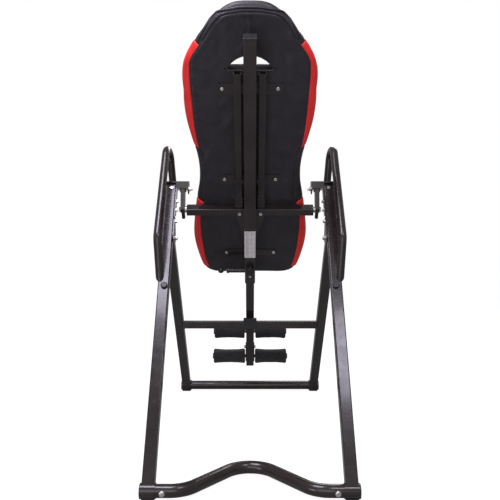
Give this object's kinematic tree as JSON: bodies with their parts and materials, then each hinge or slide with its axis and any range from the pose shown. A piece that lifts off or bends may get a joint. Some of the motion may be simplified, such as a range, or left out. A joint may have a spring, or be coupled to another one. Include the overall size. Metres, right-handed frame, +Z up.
{
  "type": "inversion table",
  "caption": "Folding steel A-frame with a padded bed on two pivots that tips back to hang the user by foam ankle rollers.",
  "frame": {"origin": "on the floor, in the middle of the footprint; the bed's pivot pins are 42 mm ahead of it along +Y", "axes": "+X to the right seen from behind the head end, +Y towards the feet end, +Z up"},
  "size_m": [0.7056, 1.3, 1.6052],
  "materials": {
    "black_gloss_steel": "gloss black powder coat",
    "black_plastic": "black moulded plastic",
    "zinc_steel": "zinc plated",
    "shaft_steel": "gloss black powder coat",
    "rubber": "matte black rubber",
    "foam": "matte closed-cell foam",
    "axle_steel": "black",
    "nylon": "black nylon",
    "pad_foam": "soft foam under black upholstery",
    "black_vinyl": "black upholstery vinyl",
    "red_vinyl": "bright red upholstery vinyl",
    "board": "plywood",
    "scale_foil": "pale printed foil"
  },
  "bodies": {
    "rear_frame": {"rear_leg_left": "black_gloss_steel", "rear_leg_right": "black_gloss_steel", "rear_base_tube": "black_gloss_steel", "rear_base_washers": "black_gloss_steel", "rear_base_bolts": "zinc_steel", "rear_foot_pads": "rubber", "rear_sleeve_caps": "black_plastic", "pivot_brackets": "black_gloss_steel", "pivot_pins": "zinc_steel", "leg_bolts": "zinc_steel", "hinge_plates": "black_gloss_steel", "hinge_bolts": "zinc_steel", "handrail_left": "black_gloss_steel", "handrail_right": "black_gloss_steel", "handrail_caps": "black_plastic"},
    "front_frame": {"front_leg_left": "black_gloss_steel", "front_leg_right": "black_gloss_steel", "front_base_tube": "black_gloss_steel", "front_foot_pads": "rubber", "front_sleeve_caps": "black_plastic", "front_crossbar": "black_gloss_steel", "rest_bumper": "rubber"},
    "bed": {"main_tube": "black_gloss_steel", "main_tube_cap": "black_plastic", "cross_tube": "black_gloss_steel", "bed_rails": "black_gloss_steel", "rail_collars": "black_gloss_steel", "rail_gussets": "black_gloss_steel", "gusset_bolts": "zinc_steel", "pivot_arms": "black_gloss_steel", "pivot_bushings": "nylon", "arm_bolts": "zinc_steel", "arm_buffers": "rubber", "back_straps": "black_gloss_steel", "strap_screws": "zinc_steel", "backboard": "board", "rear_cover": "black_vinyl", "back_pad": "pad_foam", "side_bolsters": "red_vinyl", "height_scale": "scale_foil", "lock_housing": "black_gloss_steel", "housing_screws": "zinc_steel", "pin_barrel": "black_gloss_steel"},
    "lock_pin": {"lock_pin": "black_gloss_steel", "lock_pin_knob": "black_plastic", "lock_pin_spring": "zinc_steel"},
    "tension_knob": {"tension_knob": "black_plastic"},
    "height_shaft": {"inner_shaft": "shaft_steel", "shaft_glide": "nylon", "shaft_end_cap": "black_plastic", "ankle_bracket": "black_gloss_steel", "ankle_bracket_bolt": "zinc_steel", "heel_axle": "axle_steel"},
    "ankle_slide": {"ankle_bar": "black_gloss_steel", "shin_axle": "axle_steel"},
    "ankle_pin": {"ankle_pull_pin": "zinc_steel"},
    "heel_left": {"heel_roller_left": "foam"},
    "heel_right": {"heel_roller_right": "foam"},
    "shin_left": {"shin_roller_left": "foam"},
    "shin_right": {"shin_roller_right": "foam"}
  },
  "joints": [
    {"name": "fold", "type": "hinge", "parent": "rear_frame", "child": "front_frame", "pos_m": [0, -0.04292, 0.78473], "axis": [-1, 0, 0], "range_deg": [0, 70]},
    {"name": "inversion", "type": "hinge", "parent": "rear_frame", "child": "bed", "pos_m": [0, 0.042, 0.978], "axis": [1, 0, 0], "range_deg": [0, 145]},
    {"name": "height_adjust", "type": "slide", "parent": "bed", "child": "height_shaft", "axis": [0, 0.5664, -0.8241], "range_m": [-0.1, 0.05]},
    {"name": "height_lock_pin", "type": "slide", "parent": "bed", "child": "lock_pin", "axis": [-1, 0, 0], "range_m": [0, 0.012], "stiffness_N_per_m": 400, "deforming": ["lock_pin_spring"]},
    {"name": "tension_knob_turn", "type": "hinge", "parent": "bed", "child": "tension_knob", "pos_m": [0, 0.12961, 0.6475], "axis": [0, -0.8241, -0.5664], "range_deg": [0, 360]},
    {"name": "ankle_adjust", "type": "slide", "parent": "height_shaft", "child": "ankle_slide", "axis": [0, 0.8241, 0.5664], "range_m": [-0.02, 0.04]},
    {"name": "ankle_pin_pull", "type": "slide", "parent": "height_shaft", "child": "ankle_pin", "axis": [0, -0.5664, 0.8241], "range_m": [0, 0.008]},
    {"name": "heel_left_spin", "type": "hinge", "parent": "height_shaft", "child": "heel_left", "pos_m": [0, 0.46534, 0.20844], "axis": [1, 0, 0], "continuous": true},
    {"name": "heel_right_spin", "type": "hinge", "parent": "height_shaft", "child": "heel_right", "pos_m": [0, 0.46534, 0.20844], "axis": [1, 0, 0], "continuous": true},
    {"name": "shin_left_spin", "type": "hinge", "parent": "ankle_slide", "child": "shin_left", "pos_m": [0, 0.59967, 0.30076], "axis": [1, 0, 0], "continuous": true},
    {"name": "shin_right_spin", "type": "hinge", "parent": "ankle_slide", "child": "shin_right", "pos_m": [0, 0.59967, 0.30076], "axis": [1, 0, 0], "continuous": true}
  ]
}
